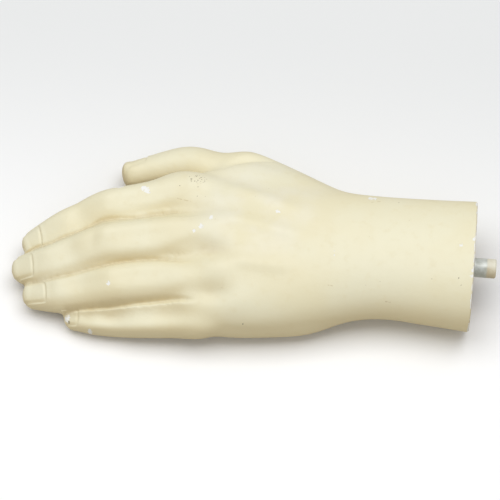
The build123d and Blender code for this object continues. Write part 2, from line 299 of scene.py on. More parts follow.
# Planing: the backs of the fingers are flat across. The sides towards the little finger are flat
# too where the number is positive, and fall off towards the cut where it is negative.
FLAT_RISE = 1.2
ROUND_SIDES = {"index": -0.6, "middle": 0.6, "ring": -0.7, "little": 1.0}
SIDE_FALL = (0.35, 1.0)
SIDE_TURN = (-3.0, 3.0)
ABOVE_BONE = (-1.0, 4.0)
PLANED_FROM = (0.0, 0.15)
PLANED_TO = (0.92, 0.72)
OUTER_EDGE_Y = (-34.0, -41.0)
OUTER_EDGE_FRONT_X = (-170.0, -150.0)
OUTER_EDGE_BACK_X = (-80.0, -100.0)
OUTER_EDGE_RUB = 25
place = points_of(hand)
nearest = np.full(len(place), FAR_OFF)
rise = np.zeros((len(place), 3))
for name in FINGERS:
    digit = digits[name]
    gap, share = near_line(place, flowing(digit["joints"]))
    axis = np.array([np.interp(share, np.linspace(0, 1, len(digit["joints"])), column)
                     for column in np.array(digit["joints"]).T]).T
    half = digit["half"][0] + (digit["half"][1] - digit["half"][0]) * share
    facing = np.array((0.0, digit["nail"][1], digit["nail"][2]))
    facing = facing / np.linalg.norm(facing)
    across = np.array((0.0, facing[2], -facing[1]))
    off = np.clip(np.abs((place - axis) @ across) / half, 0.0, 1.0)
    flat = 4 * off ** 2 * (1 - off ** 2)
    side = ROUND_SIDES[name] * (flat if ROUND_SIDES[name] > 0 else ease(*SIDE_FALL, off))
    lift = FLAT_RISE * (side + (flat - side) * ease(*SIDE_TURN, (place - axis) @ across))
    lift = lift * ease(*ABOVE_BONE, (place - axis) @ facing)
    lift = lift * ease(*PLANED_FROM, share) * ease(*PLANED_TO, share)
    closer = gap / half < nearest
    nearest[closer] = (gap / half)[closer]
    rise[closer] = np.outer(lift, facing)[closer]
put_points(hand, place + rise)
x, y, _ = points_of(hand).T
outer_edge = ease(*OUTER_EDGE_Y, y) * ease(*OUTER_EDGE_FRONT_X, x) * ease(*OUTER_EDGE_BACK_X, x)
rub(hand, outer_edge, OUTER_EDGE_RUB)

# Knuckles, hollows between them, finger joints and the tendons of the back of the hand. Each
# swelling has its middle, its reach along, across and up, and its height (below 0 for a hollow).
SWELLINGS = (
    # knuckles
    ((-145.0, 29.9, 15.0), (9.0, 7.0, 9.0), 1.2),
    ((-134.0, 5.3, 17.0), (9.0, 7.5, 9.0), 1.3),
    ((-129.0, -18.3, 13.4), (9.0, 7.0, 9.0), 1.2),
    ((-119.5, -35.5, 8.1), (9.0, 7.0, 9.0), 0.7),
    # hollows between the knuckles
    ((-145.0, 14.0, 14.6), (17.0, 4.6, 9.0), -2.5),
    ((-138.0, -9.5, 14.9), (10.0, 5.0, 9.0), -2.7),
    ((-133.5, -31.5, 9.2), (10.0, 5.0, 9.0), -2.3),
    # smaller hollows between and in front of them
    ((-150.0, 6.0, 16.0), (7.0, 8.0, 9.0), -0.6),
    ((-129.0, -10.5, 15.5), (7.0, 4.0, 9.0), -0.8),
    ((-168.0, 13.5, 9.0), (12.0, 4.5, 9.0), -0.7),
    ((-150.0, -13.6, 11.2), (9.0, 4.5, 9.0), -1.9),
    ((-146.0, -18.0, 12.0), (7.0, 7.0, 9.0), -0.5),
    # finger joints, and one fold between two of them
    ((-203.5, -7.0, 8.0), (4.5, 5.5, 9.0), 0.7),
    ((-188.5, -3.0, 11.5), (5.0, 7.0, 9.0), 0.9),
    ((-196.0, -5.0, 10.0), (2.4, 8.0, 9.0), -0.35),
    ((-190.0, 18.0, 10.0), (5.5, 7.0, 9.0), 0.9),
    ((-212.0, 9.0, 1.0), (4.5, 5.5, 9.0), 0.6),
    ((-185.0, -25.0, 6.0), (5.0, 6.0, 9.0), 0.7),
    ((-213.0, -28.0, -1.0), (4.0, 5.0, 9.0), 0.5),
    ((-170.0, -39.0, -4.0), (5.0, 5.0, 9.0), 0.4),
)
SWELLING_FACING = (0.0, 0.4)
TENDONS = (
    ((-142.0, 32.0), (-120.0, 25.0), (-100.0, 18.5), (-80.0, 13.0)),
    ((-134.0, 9.0), (-120.0, 7.0), (-98.0, 2.0), (-78.0, -1.5)),
    ((-128.0, -14.0), (-108.0, -16.0), (-88.0, -17.0)),
)
TENDON_RISE = 1.1
TENDON_REACH = 4.0
TENDON_FROM = (0.0, 0.3)
TENDON_TO = (1.0, 0.6)
TENDON_FACING = (0.2, 0.6)
place = points_of(hand)
normal = normals_of(hand)
move = np.zeros(len(place))
for spot, reach, height in SWELLINGS:
    swell = height * np.exp(-(((place - spot) / reach) ** 2).sum(axis=1))
    move += swell * ease(*SWELLING_FACING, normal[:, 2])
for tendon in TENDONS:
    gap, share = near_line(place[:, :2], flowing(tendon))
    fade = ease(*TENDON_FROM, share) * ease(*TENDON_TO, share) * ease(*TENDON_FACING, normal[:, 2])
    move += TENDON_RISE * np.exp(-(gap / TENDON_REACH) ** 2) * fade
put_points(hand, place + normal * move[:, None])

# Cuts between the fingers, made with the edge of a knife, from the fingertips to the webs. Each
# cut's bed is rubbed even first.
FINGER_CUTS = (
    ((-231.9, -6.1, -8.7), (-226.2, -3.8, -7.2), (-219.4, -3.6, -2.8), (-213.2, -0.4, -1.1),
     (-206.7, 1.3, 1.7), (-200.3, 3.7, 4.0), (-195.4, 6.8, 5.1), (-190.3, 8.1, 6.7),
     (-183.9, 9.0, 6.8), (-176.0, 9.5, 8.1), (-168.5, 12.0, 7.4), (-162.1, 13.5, 8.4),
     (-155.6, 13.7, 11.6), (-147.7, 13.5, 14.6), (-138.6, 13.4, 16.6)),
    ((-231.0, -23.0, -11.5), (-226.4, -24.0, -9.2), (-219.6, -24.7, -5.8), (-213.1, -23.4, -2.9),
     (-205.4, -21.6, -1.2), (-197.8, -19.6, 0.7), (-191.4, -18.5, 2.3), (-186.3, -17.0, 3.5),
     (-182.5, -15.8, 4.7), (-176.1, -14.6, 5.5), (-168.5, -13.8, 5.9), (-160.7, -13.1, 7.0),
     (-152.8, -14.1, 9.6), (-145.0, -14.4, 12.0), (-139.9, -13.9, 13.5)),
    ((-207.5, -38.5, -10.0), (-202.6, -37.6, -8.1), (-196.1, -37.2, -6.3), (-189.6, -37.1, -5.5),
     (-183.2, -36.6, -4.8), (-176.8, -35.6, -3.0), (-170.3, -34.5, -0.6), (-164.0, -33.7, -0.1),
     (-157.6, -32.9, 0.8), (-151.1, -32.6, 3.2), (-144.5, -33.9, 5.4), (-138.0, -35.3, 6.3)),
)
CUT_DEPTH = 1.2
CUT_WIDTH = 1.0
CUT_END = (1.0, 0.8)
CUT_ABOVE = (-6.0, -3.0)
CUT_STEADYING = 12
POINTS_APART = 4
CUT_REACH = 3.5
BED_REACH = 2.6
BED_RUB = 20
LIP_REACH = 2.0
LIP_RUB = 3
KNIFE_GRAIN = 0.55
cut_lines = [flowing(line)[::POINTS_APART] for line in FINGER_CUTS]
for line in cut_lines:
    for _ in range(CUT_STEADYING):
        line[1:-1] = (line[:-2] + 2 * line[1:-1] + line[2:]) / 4


def beside(lines, reach):
    """Test for places that lie within a reach of any of the lines."""
    return lambda place: np.min([near_line(place, line)[0] for line in lines], axis=0) < reach


def along_cut(place, line):
    """Distance to a cut seen from above, how far along it, and 1 for places not far below it."""
    gap, share = near_line(place[:, :2], line[:, :2])
    height = place[:, 2] - np.interp(share, np.linspace(0, 1, len(line)), line[:, 2])
    return gap, share, ease(*CUT_ABOVE, height)


refine(hand, beside(cut_lines, CUT_REACH), KNIFE_GRAIN)
place = points_of(hand)
bed = np.zeros(len(place))
for line in cut_lines:
    bed = np.maximum(bed, np.exp(-(near_line(place, line)[0] / BED_REACH) ** 4))
rub(hand, bed, BED_RUB)
place = points_of(hand)
lips = np.zeros(len(place))
for line in cut_lines:
    gap, share, above = along_cut(place, line)
    place[:, 2] -= CUT_DEPTH * np.exp(-(gap / CUT_WIDTH) ** 2) * ease(*CUT_END, share) * above
    lips = np.maximum(lips, np.exp(-(gap / LIP_REACH) ** 4) * above)
put_points(hand, place)
rub(hand, lips, LIP_RUB)

# Web of the thumb: the muscle beside the index finger ends in a crisp edge above the thumb.
# The wood beyond that edge is pared down, and runs out on the thumb.
WEB_EDGE = ((-148.0, 40.5, 6.5), (-139.0, 41.0, 8.6), (-132.7, 42.0, 10.5), (-126.2, 45.2, 9.8),
            (-119.6, 48.0, 8.2), (-113.4, 49.6, 7.6), (-107.0, 51.0, 6.6), (-100.0, 51.5, 6.0))
WEB_DROP = 2.6
WEB_REACH = 4.0
WEB_STEP = (-0.2, 1.0)
WEB_RUNOUT = (9.0, 1.5)
WEB_FROM = (0.0, 0.06)
WEB_TO = (1.0, 0.75)
WEB_ABOVE = (-4.0, 0.0)
web_line = flowing(WEB_EDGE)[::POINTS_APART]
refine(hand, beside([web_line], WEB_REACH), KNIFE_GRAIN)
place = points_of(hand)
gap, share = near_line(place, web_line)
edge_y = np.interp(place[:, 0], web_line[:, 0], web_line[:, 1])
beyond = np.where(place[:, 1] > edge_y, gap, -gap)
drop = WEB_DROP * ease(*WEB_STEP, beyond) * ease(*WEB_RUNOUT, beyond)
drop = drop * ease(*WEB_FROM, share) * ease(*WEB_TO, share)
place[:, 2] -= drop * ease(*WEB_ABOVE, place[:, 2])
put_points(hand, place)

# Nails: a plate sunk at its sides and root, a raised fold of skin round it, and a free edge.
# Margins are measured outwards from the plate.
NAIL_GRAIN = 0.28
NAIL_RUB = 8
SIDE_MARGIN = (2.4, 1.2)
ROOT_MARGIN = (3.2, 2.0)
TIP_MARGINS = (3.0, 4.0, 6.0)
NAIL_UNDER = -2.0
NAIL_OVER = 12.0
ROOT_BOW = 0.1
CORNER_SHARPNESS = 1.6
PLATE_SINK = 0.34
PLATE_EDGE = (0.0, 1.5)
PLATE_END = (-1.0, -4.0)
FOLD_RISE = 0.16
FOLD_EDGE = (0.0, -0.9)
FOLD_RUNOUT = (-3.2, -1.0)
STAND_EDGE = (0.0, 1.2)
STAND_FROM = -0.5
STAND_FULL = -2.0
STAND_UPPER = (-2.0, 1.0)
FREE_EDGE = (-0.2, 0.5)
FREE_EDGE_BACK = 0.2
FREE_EDGE_SIDE = (0.5, -1.0)
FREE_EDGE_BOW = 0.12
FREE_EDGE_DROP = 0.35
UPPER_SIDE = (-1.0, 1.0)
OWN_DIGIT = (-0.05, 0.15)


def nail_axes(digit):
    """Tip of a digit and its directions across, along and up from the nail."""
    tip = np.array(digit["joints"][-1])
    along = tip - np.array(digit["joints"][-2])
    along = along / np.linalg.norm(along)
    facing = np.array(digit["nail"])
    facing = facing - along * (facing @ along)
    facing = facing / np.linalg.norm(facing)
    return tip, np.cross(along, facing), along, facing


def nail_view(place, digit):
    """Places seen from a nail: across it from its middle, along it from the tip, and up."""
    tip, across, along, facing = nail_axes(digit)
    return (place - tip) @ across - digit["plate"][2], (place - tip) @ along, (place - tip) @ facing


def under_nail(digit):
    """Test for places on and close round a nail."""
    half, long = digit["plate"][:2]

    def test(place):
        u, v, w = nail_view(place, digit)
        return ((np.abs(u) < half + SIDE_MARGIN[0]) & (v > -long - ROOT_MARGIN[0])
                & (v < TIP_MARGINS[0]) & (w > NAIL_UNDER) & (w < NAIL_OVER))
    return test


def bone_gap(place, digit):
    """Distance to the bones of a digit, in half breadths of its tip."""
    return near_line(place, np.array(digit["joints"], float))[0] / digit["half"][1]


for digit in digits.values():
    refine(hand, under_nail(digit), NAIL_GRAIN)
    half, long, _, slant, stand = digit["plate"]
    u, v, w = nail_view(points_of(hand), digit)
    area = ease(half + SIDE_MARGIN[0], half + SIDE_MARGIN[1], np.abs(u))
    area = area * ease(-long - ROOT_MARGIN[0], -long - ROOT_MARGIN[1], v) * ease(NAIL_UNDER, 0.0, w)
    rub(hand, area * (v < TIP_MARGINS[1]) * (w < NAIL_OVER), NAIL_RUB)
    place = points_of(hand)
    u, v, w = nail_view(place, digit)
    side = half - np.abs(u)
    root = v + long + slant * u - ROOT_BOW * u ** 2 / half
    inside = np.exp(-side * CORNER_SHARPNESS) + np.exp(-root * CORNER_SHARPNESS)
    inside = -np.log(inside) / CORNER_SHARPNESS
    fold = -PLATE_SINK + (PLATE_SINK + FOLD_RISE) * ease(*FOLD_EDGE, inside)
    move = np.where(inside > 0, -PLATE_SINK * (1 - ease(*PLATE_EDGE, inside)),
                    fold * ease(*FOLD_RUNOUT, inside))
    move = move * ease(*PLATE_END, v)
    lift = stand * ease(*STAND_EDGE, inside) * ease(STAND_FROM * long, STAND_FULL, v)
    move = move + lift * ease(*STAND_UPPER, w)
    free = ease(*FREE_EDGE, v - FREE_EDGE_BACK + FREE_EDGE_BOW * u ** 2 / half)
    free = free * ease(half + FREE_EDGE_SIDE[0], half + FREE_EDGE_SIDE[1], np.abs(u))
    move = move * (1 - free) - FREE_EDGE_DROP * free * ease(*UPPER_SIDE, w)
    others = np.min([bone_gap(place, other) for other in digits.values() if other is not digit], axis=0)
    move = move * ease(*UPPER_SIDE, w) * (w < NAIL_OVER) * (v < TIP_MARGINS[2])
    move = move * ease(*OWN_DIGIT, others - bone_gap(place, digit))
    put_points(hand, place + np.outer(move, nail_axes(digit)[3]))

# Creases of the palm, and across the palm side of each finger at its joints and its root.
# They are cut with the corner of a gouge, and fade out at both ends.
PALM_LINES = (
    ((-130.0, 32.0), (-122.0, 21.0), (-106.0, 9.0), (-86.0, 1.0), (-66.0, -2.0)),
    ((-129.0, 30.0), (-113.0, 2.0), (-98.0, -30.0)),
    ((-122.0, -42.0), (-126.0, -25.0), (-132.0, -8.0), (-142.0, 10.0)),
    ((-52.0, 24.0), (-54.0, 0.0), (-52.0, -24.0)),
    ((-58.5, 20.0), (-60.0, 0.0), (-58.0, -22.0)),
)
JOINT_CREASES = ((1, 1.0), (2, 1.0), (1, 0.45))
JOINT_CREASE_HALF = 0.75
JOINT_CREASE_BOW = 0.8
CREASE_DEPTH = 0.7
CREASE_WIDTH = 0.9
CREASE_REACH = 2.2
CREASE_POINTS_APART = 5
CREASE_FROM = (0.0, 0.2)
CREASE_TO = (1.0, 0.8)
PALM_FACING = (-0.2, -0.6)
PALM_SIDE_X = (-240.0, -210.0, -150.0, 0.0)
PALM_SIDE_Z = (-17.0, -13.0, -7.0, -5.0)
joint_lines = []
for name in FINGERS:
    digit = digits[name]
    for joint, share in JOINT_CREASES:
        start, stop = np.array(digit["joints"][joint - 1]), np.array(digit["joints"][joint])
        middle = (start + (stop - start) * share)[:2]
        along = (stop - start)[:2] / np.linalg.norm((stop - start)[:2])
        across = np.array((-along[1], along[0])) * (digit["half"][0] * JOINT_CREASE_HALF)
        joint_lines.append((middle - across, middle - along * JOINT_CREASE_BOW, middle + across))
palm_lines = [flowing(line)[::CREASE_POINTS_APART] for line in PALM_LINES + tuple(joint_lines)]


def beside_palm(place):
    """Test for places of the palm side that lie along one of its creases."""
    near = beside(palm_lines, CREASE_REACH)(place[:, :2])
    return near & (place[:, 2] < np.interp(place[:, 0], PALM_SIDE_X, PALM_SIDE_Z))


refine(hand, beside_palm, KNIFE_GRAIN)
place = points_of(hand)
normal = normals_of(hand)
move = np.zeros(len(place))
for line in palm_lines:
    gap, share = near_line(place[:, :2], line)
    fade = ease(*CREASE_FROM, share) * ease(*CREASE_TO, share) * ease(*PALM_FACING, normal[:, 2])
    move -= CREASE_DEPTH * np.exp(-(gap / CREASE_WIDTH) ** 2) * fade
put_points(hand, place + normal * move[:, None])

# Wrist end: sawn square, its edge worn round, and bored in two steps for the bush.
# The wide step takes the flange of the bush, and the narrow one its sleeve.
WORN_EDGE = ((-0.7, 0.0), (-0.3, 0.12), (0.0, 0.45))
WRIST_REACH = 30.0
RECESS_RADIUS = 18.05
RECESS_DEPTH = 3.0
SLEEVE_RADIUS = 7.55
SLEEVE_REACH = 52.0
SHARP_ANGLE = 50.0
bpy.ops.object.mode_set(mode="EDIT")
bpy.ops.mesh.select_all(action="SELECT")
bpy.ops.mesh.bisect(plane_co=(WORN_EDGE[0][0] / 1000, 0, 0), plane_no=(1, 0, 0), clear_outer=True)
bpy.ops.mesh.select_mode(type="EDGE")
for (from_x, from_in), (to_x, to_in) in zip(WORN_EDGE, WORN_EDGE[1:]):
    bpy.ops.mesh.extrude_edges_move(TRANSFORM_OT_translate={"value": ((to_x - from_x) / 1000, 0, 0)})
    shrink = (WRIST_REACH - to_in) / (WRIST_REACH - from_in)
    bpy.ops.transform.resize(value=(1, shrink, shrink), center_override=(0, 0, 0))
for radius, depth in ((RECESS_RADIUS, 0.0), (RECESS_RADIUS, RECESS_DEPTH),
                      (SLEEVE_RADIUS, RECESS_DEPTH), (SLEEVE_RADIUS, SLEEVE_REACH)):
    bpy.ops.mesh.extrude_edges_move(TRANSFORM_OT_translate={"value": (0, 0, 0)})
    bpy.ops.object.mode_set(mode="OBJECT")
    loop = np.empty(len(hand.data.vertices), dtype=bool)
    hand.data.vertices.foreach_get("select", loop)
    place = points_of(hand)
    place[loop, 1:] *= (radius / np.hypot(place[loop, 1], place[loop, 2]))[:, None]
    place[loop, 0] = -depth
    put_points(hand, place)
    bpy.ops.object.mode_set(mode="EDIT")
bpy.ops.mesh.select_all(action="DESELECT")
bpy.ops.mesh.select_non_manifold()
bpy.ops.mesh.edge_face_add()
bpy.ops.mesh.select_all(action="SELECT")
bpy.ops.mesh.normals_make_consistent(inside=False)
bpy.ops.object.mode_set(mode="OBJECT")
only(hand)
bpy.ops.object.shade_smooth_by_angle(angle=math.radians(SHARP_ANGLE))
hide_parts("hand_body")
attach(hand, "hand")

# Grime and painted shade of the hand: brown, partly dust and partly painted shade, lies in the cuts,
# round the nails and in every other hollow, and painted shade alone in the deepest hollows between
# the knuckles and round the thumb tip. It is measured on the carving as the depth below a smoothed
# copy of the surface. A yellow-brown painted shade lies where the paint faces away from the light,
# most on the fingers.
HOLLOW_ROUNDS = 14
HOLLOW_DEPTH = 0.45
HOLLOW_START = 0.06
GRIME_AND_SHADE_SPREAD = 5
HOLLOW_SHARE = 0.6
CUT_SHARE = 0.45
CUT_SHADE_WIDTH = 1.5
CUT_SHADE_END = (1.0, 0.75)
UNDARKENED_RIM_X = (-1.0, -4.0)
DEEP_HOLLOW = -1.5
KNUCKLE_SHADE = 0.13
KNUCKLE_SHADE_SHIFT = (0.0, 2.0, 0.0)
THUMB_TIP_SHADE = 0.3
THUMB_TIP_SHADE_REACH = (15.0, 9.0)
THUMB_TIP_SHADE_END = (-5.0, 0.0)
AWAY_FROM_LIGHT = (0.0, -0.5, -0.86)
SHADE_FINGERS_X = (-118.0, -150.0)
BACK_SHADE = (-0.6, 0.6)
FINGER_SHADE = (-0.8, 0.2)
edges = np.empty(len(hand.data.edges) * 2, dtype=np.int32)
hand.data.edges.foreach_get("vertices", edges)
edges = edges.reshape(-1, 2)
place = points_of(hand)
count = np.maximum(np.bincount(edges.ravel(), minlength=len(place)), 1)


def evened(values):
    """Values of the vertices, moved half way to the mean of their neighbours."""
    total = (np.bincount(edges[:, 0], values[edges[:, 1]], len(values))
             + np.bincount(edges[:, 1], values[edges[:, 0]], len(values)))
    return 0.5 * values + 0.5 * total / count


smoothed = place.copy()
for _ in range(HOLLOW_ROUNDS):
    smoothed = np.array([evened(column) for column in smoothed.T]).T
hollow = (((smoothed - place) * normals_of(hand)).sum(axis=1) - HOLLOW_START) / HOLLOW_DEPTH
# Grime and painted shade along the cuts between the fingers.
cut_grime_and_shade = np.zeros(len(place))
for line in cut_lines:
    gap, share, above = along_cut(place, line)
    cut_grime_and_shade = np.maximum(cut_grime_and_shade, np.exp(-(gap / CUT_SHADE_WIDTH) ** 2) * ease(*CUT_SHADE_END, share) * above)
grime_and_shade = np.clip(np.maximum(HOLLOW_SHARE * hollow, CUT_SHARE * cut_grime_and_shade), 0.0, 1.0)
grime_and_shade = grime_and_shade * ease(*UNDARKENED_RIM_X, place[:, 0])
for _ in range(GRIME_AND_SHADE_SPREAD):
    grime_and_shade = evened(grime_and_shade)
# Painted shade in the deep hollows between the knuckles.
for spot, reach, height in SWELLINGS:
    if height < DEEP_HOLLOW:
        away = (place - spot - np.array(KNUCKLE_SHADE_SHIFT)) / reach
        grime_and_shade = np.maximum(grime_and_shade, KNUCKLE_SHADE * np.exp(-(away ** 2).sum(axis=1)))
# Painted shade round the thumb tip.
thumb_gap = np.linalg.norm(place - digits["thumb"]["joints"][-1], axis=1)
thumb_end = ease(*THUMB_TIP_SHADE_END, nail_view(place, digits["thumb"])[1])
grime_and_shade = np.maximum(grime_and_shade, THUMB_TIP_SHADE * ease(*THUMB_TIP_SHADE_REACH, thumb_gap) * thumb_end)
# Painted shade: yellow-brown where the surface faces away from the light, most on the fingers.
facing = normals_of(hand) @ np.array(AWAY_FROM_LIGHT)
on_fingers = ease(*SHADE_FINGERS_X, place[:, 0])
painted_shade = ease(*BACK_SHADE, facing) * (1 - on_fingers) + ease(*FINGER_SHADE, facing) * on_fingers
for name, values in (("grime_and_shade", grime_and_shade), ("painted_shade", painted_shade)):
    layer = hand.data.attributes.new(name, "FLOAT", "POINT")
    layer.data.foreach_set("value", values.astype(np.float32))

# Finish of the hand: cream oil paint over a white ground, dulled by handling, with painted shade laid
# into its hollows and on its sides away from the light, chipped to the white on knuckles and edges,
# with specks of dirt and scratches. Sizes in metres from here on.
CREAM = (0.812, 0.772, 0.570, 1.0)
WARM_CREAM = (0.800, 0.740, 0.512, 1.0)
RUBBED_CREAM = (0.740, 0.655, 0.410, 1.0)
SHADE_YELLOW = (0.780, 0.650, 0.380, 1.0)
GRIME_AND_SHADE_BROWN = (0.420, 0.290, 0.110, 1.0)
CLOUD_NOISE, CLOUD_EDGE = (24.0, 3.0), (0.35, 0.65)
MOTTLE_NOISE, BRUSH_NOISE = (240.0, 5.0), (900.0, 2.0)
RUBBED_EDGE, RUBBED_SHARE = (0.52, 0.78), 0.25
SHADE_TINT_SHARE = 0.7
GRIME_AND_SHADE_LEAST, GRIME_AND_SHADE_SHARE = 0.35, 0.8
COAT_ROUGHNESS, MOTTLE_ROUGHNESS, DIRT_ROUGHNESS = 0.36, 0.22, 0.2
BRUSH_HEIGHT = 0.35


def add(tree, kind, sockets, **settings):
    """Add a shader node, set it up and fill or join its sockets."""
    node = tree.nodes.new("ShaderNode" + kind)
    for name, value in settings.items():
        setattr(node, name, value)
    for name, value in sockets.items():
        if isinstance(value, bpy.types.NodeSocket):
            tree.links.new(value, node.inputs[name])
        else:
            node.inputs[name].default_value = value
    return node


def sum_of(tree, operation, one, two):
    """Result of one sum on two values."""
    return add(tree, "Math", {0: one, 1: two}, operation=operation).outputs[0]


def times(tree, one, two):
    """Product of two values."""
    return sum_of(tree, "MULTIPLY", one, two)


def plus(tree, one, two):
    """Sum of two values."""
    return sum_of(tree, "ADD", one, two)


def larger(tree, one, two):
    """The larger of two values, which joins two masks."""
    return sum_of(tree, "MAXIMUM", one, two)


def moved(tree, operation, one, two):
    """Result of one sum on two vectors."""
    return add(tree, "VectorMath", {0: one, 1: two}, operation=operation).outputs[0]


def measured(tree, operation, one, two=(0.0, 0.0, 0.0)):
    """Length or distance, or another value got from vectors."""
    return add(tree, "VectorMath", {0: one, 1: two}, operation=operation).outputs["Value"]


def stretched(tree, vector, scale):
    """A vector made longer by a scale."""
    return add(tree, "VectorMath", {0: vector, "Scale": scale}, operation="SCALE").outputs[0]


def blend(tree, share, under, over):
    """One colour laid over another by a share."""
    return add(tree, "Mix", {0: share, 6: under, 7: over}, data_type="RGBA").outputs[2]


def band(tree, value, low, high):
    """Smooth step from 0 at low to 1 at high."""
    return add(tree, "MapRange", {"Value": value, "From Min": low, "From Max": high},
               interpolation_type="SMOOTHSTEP").outputs["Result"]


def noise(tree, place, scale, detail):
    """Cloudy pattern between 0 and 1, with its scale and its fineness."""
    return add(tree, "TexNoise", {"Vector": place, "Scale": scale, "Detail": detail}).outputs["Fac"]


def new_group(name, inputs, outputs):
    """Start a node group with named inputs and outputs."""
    tree = bpy.data.node_groups.new(name, "ShaderNodeTree")
    for label, kind in inputs:
        tree.interface.new_socket(label, in_out="INPUT", socket_type="NodeSocket" + kind)
    for label, kind in outputs:
        tree.interface.new_socket(label, in_out="OUTPUT", socket_type="NodeSocket" + kind)
    return tree, tree.nodes.new("NodeGroupInput").outputs, tree.nodes.new("NodeGroupOutput").inputs


def use_group(tree, group, sockets):
    """Put a node group into a material and fill or join its inputs."""
    return add(tree, "Group", sockets, node_tree=group).outputs


def new_material(name):
    """Start a material: itself, its tree, its shader and the places on the piece."""
    material = bpy.data.materials.new(name)
    material.use_nodes = True
    tree = material.node_tree
    return material, tree, tree.nodes["Principled BSDF"], add(tree, "TexCoord", {}).outputs["Object"]


cream_coat, given, made = new_group(
    "cream_coat", [("Place", "Vector"), ("Grime_And_Shade", "Float"), ("Age", "Float")],
    [("Color", "Color"), ("Roughness", "Float"), ("Height", "Float")])
clouds = noise(cream_coat, given["Place"], *CLOUD_NOISE)
mottle = noise(cream_coat, given["Place"], *MOTTLE_NOISE)
brushing = noise(cream_coat, given["Place"], *BRUSH_NOISE)
colour = blend(cream_coat, band(cream_coat, clouds, *CLOUD_EDGE), CREAM, WARM_CREAM)
rubbed = times(cream_coat, band(cream_coat, mottle, *RUBBED_EDGE), RUBBED_SHARE)
colour = blend(cream_coat, rubbed, colour, RUBBED_CREAM)
# Painted shade: yellowed where the surface faces away from the light.
colour = blend(cream_coat, times(cream_coat, given["Age"], SHADE_TINT_SHARE), colour, SHADE_YELLOW)
# Grime and painted shade in the hollows, laid on as brown.
patchy = times(cream_coat, given["Grime_And_Shade"], plus(cream_coat, mottle, GRIME_AND_SHADE_LEAST))
colour = blend(cream_coat, times(cream_coat, patchy, GRIME_AND_SHADE_SHARE), colour, GRIME_AND_SHADE_BROWN)
cream_coat.links.new(colour, made["Color"])
dull = plus(cream_coat, times(cream_coat, mottle, MOTTLE_ROUGHNESS), COAT_ROUGHNESS)
dull = plus(cream_coat, dull, times(cream_coat, given["Grime_And_Shade"], DIRT_ROUGHNESS))
cream_coat.links.new(dull, made["Roughness"])
cream_coat.links.new(plus(cream_coat, times(cream_coat, brushing, BRUSH_HEIGHT), mottle), made["Height"])

# White chips and dark specks, each with its place and reach in millimetres. A chip goes down to
# the white ground, and a speck is dirt in the paint. Both have ragged edges.
WHITE_GROUND = (0.880, 0.875, 0.835, 1.0)
SPECK_BROWN = (0.150, 0.115, 0.060, 1.0)
CHIPS = (
    (-173.2, 25.4, 11.2, 1.55), (-171.6, 24.4, 11.6, 1.69), (-170.8, 23.6, 11.9, 1.22),
    (-187.2, 27.2, 8.0, 1.76), (-185.4, 26.8, 8.3, 1.62), (-136.2, 7.6, 17.0, 1.28),
    (-140.4, 2.6, 16.7, 1.22), (-141.2, 1.9, 16.6, 0.81), (-144.3, -0.4, 16.2, 1.01),
    (-102.4, 13.4, 18.7, 0.94), (-101.6, 13.2, 18.7, 0.81), (-185.5, -28.6, 4.9, 1.15),
    (-55.2, 27.9, 14.3, 1.35), (-53.0, 27.9, 14.3, 1.35), (-71.5, -6.6, 16.4, 0.61),
    (-71.3, -8.8, 16.1, 0.61), (-7.1, -0.5, 21.3, 1.08), (-0.8, 3.0, 22.0, 1.1),
    (-0.8, -13.5, 18.8, 1.0), (-0.8, -16.0, 17.6, 1.1), (-194.2, -46.7, -15.6, 1.22),
    (-206.5, -40.6, -14.1, 1.62),
)
SPECKS = (
    (-144.8, 26.4, 14.7, 0.48), (-144.8, 21.4, 14.3, 0.32), (-154.2, 26.8, 14.7, 0.32),
    (-40.4, 25.5, 16.2, 0.28), (-47.2, -19.8, 12.2, 0.28), (-21.0, -17.8, 15.8, 0.26),
    (-7.4, -17.2, 18.0, 0.38), (-6.1, -20.5, 16.1, 0.32), (-127.3, -28.8, 10.5, 0.32),
    (-115.2, -43.4, -0.2, 0.34), (-205.3, -42.2, -14.3, 0.72),
)
RAGGED_SCALE, RAGGED_DETAIL, RAGGED_REACH = 900.0, 2.0, 2.6
DEEP_MARK = (1.0, 1.0, 0.35)
MARK_EDGE = 0.82
SPECK_SHARE = 0.62

chip, given, made = new_group(
    "paint_chip", [("Place", "Vector"), ("Spot", "Vector"), ("Reach", "Float")], [("Mask", "Float")])
ragged = add(chip, "TexNoise", {"Vector": given["Place"], "Scale": RAGGED_SCALE, "Detail": RAGGED_DETAIL})
ragged = moved(chip, "SUBTRACT", ragged.outputs["Color"], (0.5, 0.5, 0.5))
ragged = stretched(chip, ragged, times(chip, given["Reach"], RAGGED_REACH))
away = moved(chip, "SUBTRACT", moved(chip, "ADD", given["Place"], ragged), given["Spot"])
reached = measured(chip, "LENGTH", moved(chip, "MULTIPLY", away, DEEP_MARK))
inner = times(chip, given["Reach"], MARK_EDGE)
chip.links.new(band(chip, reached, given["Reach"], inner), made["Mask"])

paint, tree, shader, place = new_material("cream_paint")
x, y, z = add(tree, "SeparateXYZ", {0: place}).outputs
# Grime and painted shade of the hollows, and the yellow painted shade of the sides away from the light, as
# worked out on the carving.
grime_and_shade = add(tree, "Attribute", {}, attribute_name="grime_and_shade").outputs["Fac"]
shade_tint = add(tree, "Attribute", {}, attribute_name="painted_shade").outputs["Fac"]
coat = use_group(tree, cream_coat, {"Place": place, "Grime_And_Shade": grime_and_shade, "Age": shade_tint})


def marks(spots):
    """All marks of one kind as a single mask."""
    mask = None
    for *spot, reach in spots:
        sockets = {"Place": place, "Spot": Vector(spot) / 1000, "Reach": reach / 1000}
        here = use_group(tree, chip, sockets)["Mask"]
        mask = here if mask is None else larger(tree, mask, here)
    return mask


chipped = marks(CHIPS)
dotted = marks(SPECKS)

